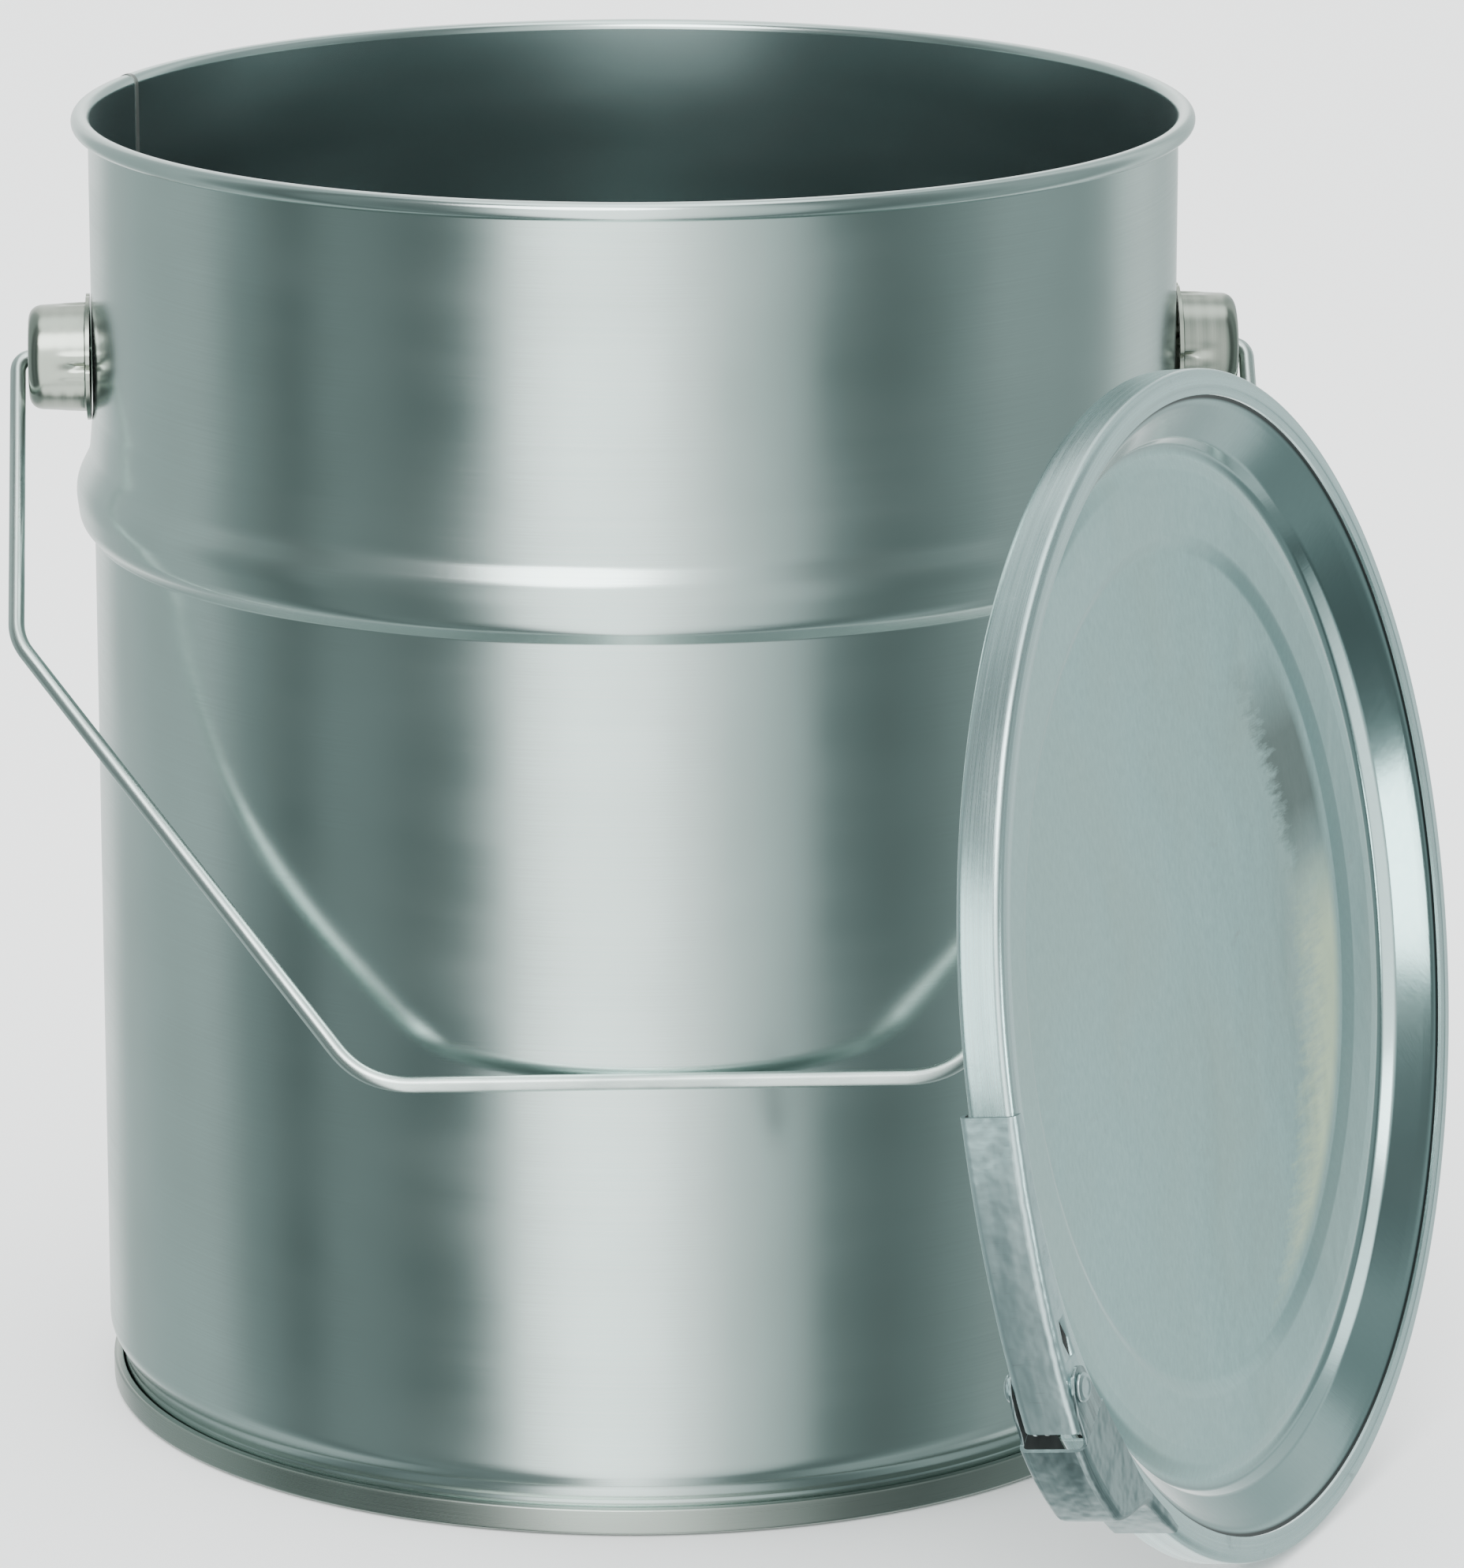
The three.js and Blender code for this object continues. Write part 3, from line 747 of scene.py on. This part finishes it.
def build_seal():
    """The gasket flowed in under the lid's edge."""
    section = rounded([(115.2, -2.85), (116.4, -2.95, 1), (117.6, -2.85), (117.6, -1.95), (115.2, -1.95)])
    bm = lathe(bmesh.new(), section, SPLIT, SPLIT + 360)
    piece = finish_mesh("lid_seal", bm, LID, "lid", GASKET)
    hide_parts("lid_gasket")


def band_outline():
    """The closing ring's strip: two lips, two soft shoulders and a small step on its face."""
    web, front, back = RING["web"], RING["front"], RING["back"]
    shoulder = RING["shoulder"]
    middle = rounded([
        (RING["lip"], front - 0.25),
        (117.3, front - 0.1, 0.6),
        (117.6, front, 0.6),
        (web, front, shoulder),
        (web, (front + back) / 2),
        (web, back, shoulder),
        (117.4, back, 0.6),
        (RING["lip"] + 0.9, back + 0.25),
    ], steps=8)
    return thicken(middle, RING["sheet"])


def build_band():
    """The two halves of the ring, which meet at the hinge."""
    segments = 140
    lower = lathe(bmesh.new(), band_outline(), SPLIT + SPLIT_GAP, HINGE + 360, segments)
    piece = finish_mesh("band_lower", lower, LID, "lid", ZINC_BAND)
    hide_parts("closing_ring_lower")

    upper = lathe(bmesh.new(), band_outline(), HINGE, SPLIT - SPLIT_GAP, segments)
    piece = finish_mesh("band_upper", upper, LID, None, ZINC_BAND)
    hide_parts("closing_ring_upper")
    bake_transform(piece)


# ---- The closure ----
def channel(bm, angles, outer, lip, front, rear, metal, corner):
    """Adds a bent channel over the ring; outer and lip give its radii at each angle."""
    rings = []
    for degrees in angles:
        back = outer(degrees) - metal / 2
        edge = lip(degrees)
        middle = rounded([(edge, front), (back, front, corner), (back, rear, corner), (edge, rear)], steps=6)
        direction = polar(degrees, 1)
        rings.append([Vector((direction.x * p.x, direction.y * p.x, p.y)) for p in thicken(middle, metal)])
    step = math.radians(angles[1] - angles[0]) * outer(angles[0]) * MM
    girth = 0.5 * MM
    skin(bm, rings, False, True, lambda i, k: (i * step, k * girth))
    return bm


def spaced(start, end, count):
    """Evenly spaced numbers, with both ends."""
    return [start + (end - start) * k / (count - 1) for k in range(count)]


def cut_away(piece, cutter):
    """Cuts the cutter's shape out of a piece, leaves its material on the cut, and removes the cutter."""
    modifier = piece.modifiers.new("cut", "BOOLEAN")
    modifier.object = cutter
    modifier.solver = "EXACT"
    modifier.material_mode = "TRANSFER"
    modifier.use_self = True
    bpy.context.view_layer.update()
    shape = piece.evaluated_get(bpy.context.evaluated_depsgraph_get())
    mesh = bpy.data.meshes.new_from_object(shape)
    piece.modifiers.clear()
    piece.data = mesh
    bpy.data.objects.remove(cutter)


def lever_radius(degrees):
    """The lever's back lies close on the ring at its tail and stands off towards the pivot."""
    t = min(max((degrees - LEVER["tail"]) / (LEVER["end"] - LEVER["tail"]), 0), 1)
    return LEVER["tail_r"] + (LEVER["end_r"] - LEVER["tail_r"]) * t * t


def paint_shade_inside(piece, rear, front):
    """The faces inside a folded channel, towards the ring or its middle, get near-black painted shade."""
    if PAINTED_SHADE.name not in piece.data.materials:
        piece.data.materials.append(PAINTED_SHADE)
    dark = piece.data.materials.find(PAINTED_SHADE.name)
    to_lid = LID.inverted()
    for face in piece.data.polygons:
        at = to_lid @ face.center / MM
        facing = to_lid.to_3x3() @ face.normal
        to_axis = -facing.xy.dot(at.xy.normalized())
        to_middle = facing.z * ((front + rear) / 2 - at.z)
        if to_axis > 0.6 or (abs(facing.z) > 0.8 and to_middle > 0):
            face.material_index = dark


def lever_lip(degrees):
    """The edge of the lever's flanges: drawn back at the tail and towards the pivot."""
    return 118.7 + 1.0 * smooth_step(degrees, 196, 204) + 0.9 * smooth_step(181.5 - degrees, 0, 2)


def cheeks(bm, outline, front, rear, metal, inset):
    """Adds the same plate in the front and the rear flange of a channel, sunk a little into both faces."""
    for middle in (front, rear):
        plate(bm, outline, middle - metal / 2 + inset, middle + metal / 2 - inset)


def slot_tool(front, metal):
    """The tool for the lens-shaped slot in the lever's front flange, which leaves a thin floor in near-black
    painted shade.
    """
    outline = polar_outline([(199.6, 122.1, 0.2), (201.8, 121.1, 2), (203.9, 122.3, 0.2), (201.8, 123.2, 2)])
    floor = 0.1
    past_the_face = 3
    bm = plate(bmesh.new(), outline, front - metal / 2 + floor, past_the_face, 0.01)
    return finish_mesh("slot_tool", bm, LID, None, PAINTED_SHADE)


def build_lever():
    """A channel over the ring with rounded cheeks at its pivot, and a slot in its front."""
    metal = LEVER["sheet"]
    front = GAP + metal / 2
    rear = -RING_DEPTH - front
    angles = spaced(LEVER["tail"], LEVER["end"], 49)
    bm = channel(bmesh.new(), angles, lever_radius, lever_lip, front, rear, metal, 1.5)
    nose = polar_outline([
        (205, 120.2, 0.5), (209.4, 119.9, 2), (211.6, 121.4, 2),
        (212.3, 124, 2), (211.8, 126.6, 1.5), (205, 126.6, 0.5),
    ])
    cheeks(bm, nose, front, rear, metal, 0.04)
    piece = finish_mesh("lever_channel", bm, LID, None, ZINC_LEVER)
    # The slot's cut faces take the tool's near-black painted shade.
    cut_away(piece, slot_tool(front, metal))
    # Painted shade on the channel's inner faces.
    paint_shade_inside(piece, rear, front)
    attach(piece, "lever")
    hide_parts("lever")


def build_lug():
    """The lug and pin under the lever's end, welded to the upper half of the ring."""
    start, end, metal = 206.5, 213, 0.8
    front, rear = -2 * GAP, -RING_DEPTH + 2 * GAP
    base = RING["web"] + RING["sheet"] / 2 + GAP
    foot = [polar(a, base) for a in spaced(start, end, 8)]
    top = [polar(a, base + metal) for a in spaced(end, start, 8)]
    tab = polar_outline([
        (208.3, base, 0.1), (213, base, 0.1), (212.4, 125.2, 1), (210.6, 126, 2), (208.8, 125.2, 1),
    ])
    bm = bmesh.new()
    plate(bm, foot + top, rear, front, 0.1)
    plate(bm, tab, front - metal, front)
    plate(bm, tab, rear, rear + metal)
    centre = polar(PIVOT["at"], PIVOT["radius"])
    tube(bm, [Vector((*centre, z)) for z in (-10.6, -10.4, -5, 0.8, 1.0)], PIVOT["pin"], 24)
    piece = finish_mesh("lug_and_pin", bm, LID, "ring_upper", LUG_STEEL)
    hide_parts("lever_lug")


def roof_radius(degrees):
    """The bracket's roof stands proud, then comes down on the ring."""
    drop = smooth_step(degrees, 220.2, 226.4)
    hump = 0.35 * math.sin(math.radians((degrees - BRACKET["start"]) * 22))
    return BRACKET["roof"] + (BRACKET["foot"] - BRACKET["roof"]) * drop + hump * (1 - drop) - 0.2


def bracket_lip(degrees):
    """The edge of the bracket's flanges, drawn back towards its foot."""
    return 118.4 + 1.2 * smooth_step(degrees, 217, 224) + 0.8 * smooth_step(degrees, 229.5, 232.5)


def build_bracket():
    """A hood over the ring's split, with two arms that reach back along the lever to its rivets."""
    metal = BRACKET["sheet"]
    front = 2 * GAP + LEVER["sheet"] + metal / 2
    rear = -RING_DEPTH - front
    angles = spaced(BRACKET["start"], BRACKET["end"], 41)
    bm = channel(bmesh.new(), angles, roof_radius, bracket_lip, front, rear, metal, 1.7)
    arm = polar_outline([
        (214.6, 118.5, 0.3), (209, 119.3, 3), (205.6, 120.4, 1.5), (204.7, 122.6, 1.5), (204.9, 125.4, 1.5),
        (206.2, 127.4, 1.5), (208, 128.6, 2), (210.4, 129.5, 1), (211.2, 130.6, 0.4), (214.6, 130.6, 0.1),
    ])
    cheeks(bm, arm, front, rear, metal, 0.03)
    piece = finish_mesh("bracket_hood", bm, LID, "bracket", ZINC_HOOD)
    # Painted shade on the hood's inner faces.
    paint_shade_inside(piece, rear, front)
    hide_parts("closure_bracket")


def build_rivet(name, front):
    """A rivet with a dished head outside and a flat one inside, on the front or the rear arm."""
    outside = RIVET["seat"]
    outline = rounded([
        (0, outside + 0.75),
        (RIVET["shank"], outside + 0.72, 0.8),
        (2.2, outside + 0.9, 0.5),
        (RIVET["head"], outside + 0.45, 0.5),
        (RIVET["head"], outside),
        (RIVET["shank"], outside),
        (RIVET["shank"], 0),
        (2.3, 0, 0.1),
        (2.3, -0.6, 0.1),
        (0, -0.6),
    ], steps=5)
    bm = lathe(bmesh.new(), outline, segments=40)
    if not front:
        bmesh.ops.rotate(bm, cent=(0, 0, 0), matrix=Matrix.Rotation(math.pi, 3, "X"), verts=bm.verts)
        bmesh.ops.translate(bm, vec=(0, 0, -RING_DEPTH), verts=bm.verts)
    bmesh.ops.translate(bm, vec=(*polar(RIVET["at"], RIVET["radius"]), 0), verts=bm.verts)
    piece = finish_mesh(f"{name}_head", bm, LID, "lever", RIVET_STEEL)
    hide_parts(name)


# ---- The studio, in metres and watts ----
def build_floor():
    """A plain pale floor just under the pail, which isn't mirrored in the metal."""
    half_width = 9.0
    just_below = -0.0004
    bm = bmesh.new()
    bmesh.ops.create_grid(bm, x_segments=8, y_segments=8, size=half_width)
    mesh = bpy.data.meshes.new("floor")
    bm.to_mesh(mesh)
    bm.free()
    floor = bpy.data.objects.new("floor", mesh)
    bpy.context.scene.collection.objects.link(floor)
    floor.location.z = just_below
    s = Shader("pale_floor")
    s.surface.inputs["Base Color"].default_value = (0.86, 0.87, 0.87, 1)
    s.surface.inputs["Roughness"].default_value = 0.75
    mesh.materials.append(s.material)
    floor.visible_glossy = False


# Brightness of the screens round the object: degrees from the front, towards the right.
SCREENS = (
    (-180, 1.30), (-160, 0.95), (-142, 0.45), (-118, 0.38), (-104, 0.40), (-90, 0.20), (-76, 0.11),
    (-66, 0.19), (-56, 0.17), (-46, 0.12), (-36, 0.13), (-29, 0.40), (-23, 1.45), (-12, 1.95),
    (2, 1.75), (11, 1.10), (22, 0.66), (33, 0.46), (41, 0.16), (54, 0.12), (64, 0.15), (74, 0.21),
    (84, 0.30), (96, 0.28), (108, 0.25), (117, 0.30), (126, 0.62), (134, 0.68), (150, 0.50),
    (164, 0.62), (174, 1.20), (180, 1.30),
)
CEILING = (0.89, 1.0)           # the height on the unit sphere where it starts, and its top


def screens(sky, x, y):
    """The colour of the bright and dark screens round the object, cooler where they are dim."""
    ramp = sky.node("ShaderNodeValToRGB")
    elements = ramp.color_ramp.elements
    ramp.color_ramp.interpolation = "EASE"
    elements.remove(elements[0])
    turn = sky.math("ARCTAN2", x, sky.math("MULTIPLY", y, -1))
    sky.link(sky.math("MULTIPLY_ADD", turn, 1 / (2 * math.pi), 0.5), ramp.inputs[0])
    for i, (degrees, value) in enumerate(SCREENS):
        at = degrees / 360 + 0.5
        element = elements[0] if i == 0 else elements.new(at)
        element.position = at
        element.color = (value * min(0.97, 0.76 + 0.2 * value), value, value * 0.985, 1)
    return ramp.outputs["Color"]


def build_world():
    """Soft studio light: metal mirrors the screens and a pale ceiling, and the rest is lit plainly."""
    world = bpy.data.worlds.new("studio")
    bpy.context.scene.world = world
    world.use_nodes = True
    world.node_tree.nodes.clear()
    sky = Wiring(world.node_tree)
    direction = sky.node("ShaderNodeSeparateXYZ")
    sky.link(sky.node("ShaderNodeTexCoord").outputs["Generated"], direction.inputs[0])
    x, y, z = direction.outputs
    high = sky.spread(z, *CEILING, 0, 1, interpolation="SMOOTHSTEP")
    mirrored = sky.node("ShaderNodeBackground")
    mirrored.inputs["Strength"].default_value = 1.55
    sky.link(sky.mix(high, screens(sky, x, y), (1.9, 2.0, 1.98)), mirrored.inputs["Color"])
    plain = sky.node("ShaderNodeBackground")
    plain.inputs["Color"].default_value = (0.93, 0.94, 0.94, 1)
    plain.inputs["Strength"].default_value = 3.2
    either = sky.node("ShaderNodeMixShader")
    sky.link(sky.node("ShaderNodeLightPath").outputs["Is Glossy Ray"], either.inputs["Fac"])
    sky.link(plain.outputs[0], either.inputs[1])
    sky.link(mirrored.outputs[0], either.inputs[2])
    sky.link(either.outputs[0], sky.node("ShaderNodeOutputWorld").inputs["Surface"])


def area_light(name, location, target, energy, size):
    """A soft light aimed at a point: a disk of one size, or a rectangle of two."""
    light = bpy.data.lights.new(name, "AREA")
    light.energy = energy
    if isinstance(size, tuple):
        light.shape = "RECTANGLE"
        light.size, light.size_y = size
    else:
        light.shape = "DISK"
        light.size = size
    lamp = bpy.data.objects.new(name, light)
    bpy.context.scene.collection.objects.link(lamp)
    lamp.location = location
    lamp.rotation_euler = (target - lamp.location).to_track_quat("-Z", "Y").to_euler()
    return lamp


def linked_screen(name, offset, size, pieces):
    """A soft screen near the lid that lights only the pieces named."""
    target = LID @ Vector((0.08, 0.0, 0.0))
    lamp = area_light(name, target + Vector(offset), target, energy=1.0, size=size)
    lamp.data.color = (0.86, 1.0, 0.98)
    receivers = bpy.data.collections.new(f"lit_by_{name}")
    for piece in pieces:
        receivers.objects.link(bpy.data.objects[piece])
    lamp.light_linking.receiver_collection = receivers


CLOSURE = ("band_lower", "band_upper", "lever_channel", "bracket_hood")


def build_lights():
    """One broad light for a gentle shadow on the floor, and two screens for the lid and its closure."""
    area_light("soft_light", (-0.45, -1.45, 1.75), Vector((0, 0, 0.1)), energy=24, size=1.3)
    linked_screen("lid_screen", (0.33, -0.41, -0.01), (0.16, 0.24), ("lid_sheet", *CLOSURE))
    linked_screen("closure_screen", (-0.50, -0.43, 0.06), (0.30, 0.34), CLOSURE)


def hide_lid_from_mirrors():
    """The lid and its closure aren't mirrored in the pail's side."""
    for name in ("lid_sheet", "lid_seal", *CLOSURE):
        bpy.data.objects[name].visible_glossy = False


# ---- The camera ----
SENSOR = 36.0
CAMERA = {                      # millimetres, and radians to the right and downwards
    "distance": 1676.2,
    "height": 558.2,
    "yaw": 0.01242,
    "pitch": 0.24403,
    "lens": 184.2,
    "shift": 0.03018,           # of the picture's long side
}


def build_camera():
    """The camera stands in front of the pail and looks down at it a little."""
    data = bpy.data.cameras.new("camera")
    camera = bpy.data.objects.new("camera", data)
    bpy.context.scene.collection.objects.link(camera)
    bpy.context.scene.camera = camera
    data.sensor_width = SENSOR
    data.lens = CAMERA["lens"]
    data.shift_y = -CAMERA["shift"]
    yaw, pitch = CAMERA["yaw"], CAMERA["pitch"]
    forward = Vector((
        math.sin(yaw) * math.cos(pitch),
        math.cos(yaw) * math.cos(pitch),
        -math.sin(pitch),
    ))
    camera.rotation_euler = forward.to_track_quat("-Z", "Y").to_euler()
    pail_axis = PAIL.translation
    camera.location = (pail_axis.x, pail_axis.y - CAMERA["distance"] * MM, CAMERA["height"] * MM)


build_camera()
build_body()
build_side_weld()
build_bottom()
build_seam_lining()
build_ear("ear_left", -1)
build_ear("ear_right", 1)
build_bail()
build_lid()
build_seal()
build_band()
build_lever()
build_lug()
build_bracket()
build_rivet("bracket_rivet_front", True)
build_rivet("bracket_rivet_rear", False)
build_floor()
build_world()
build_lights()
hide_lid_from_mirrors()
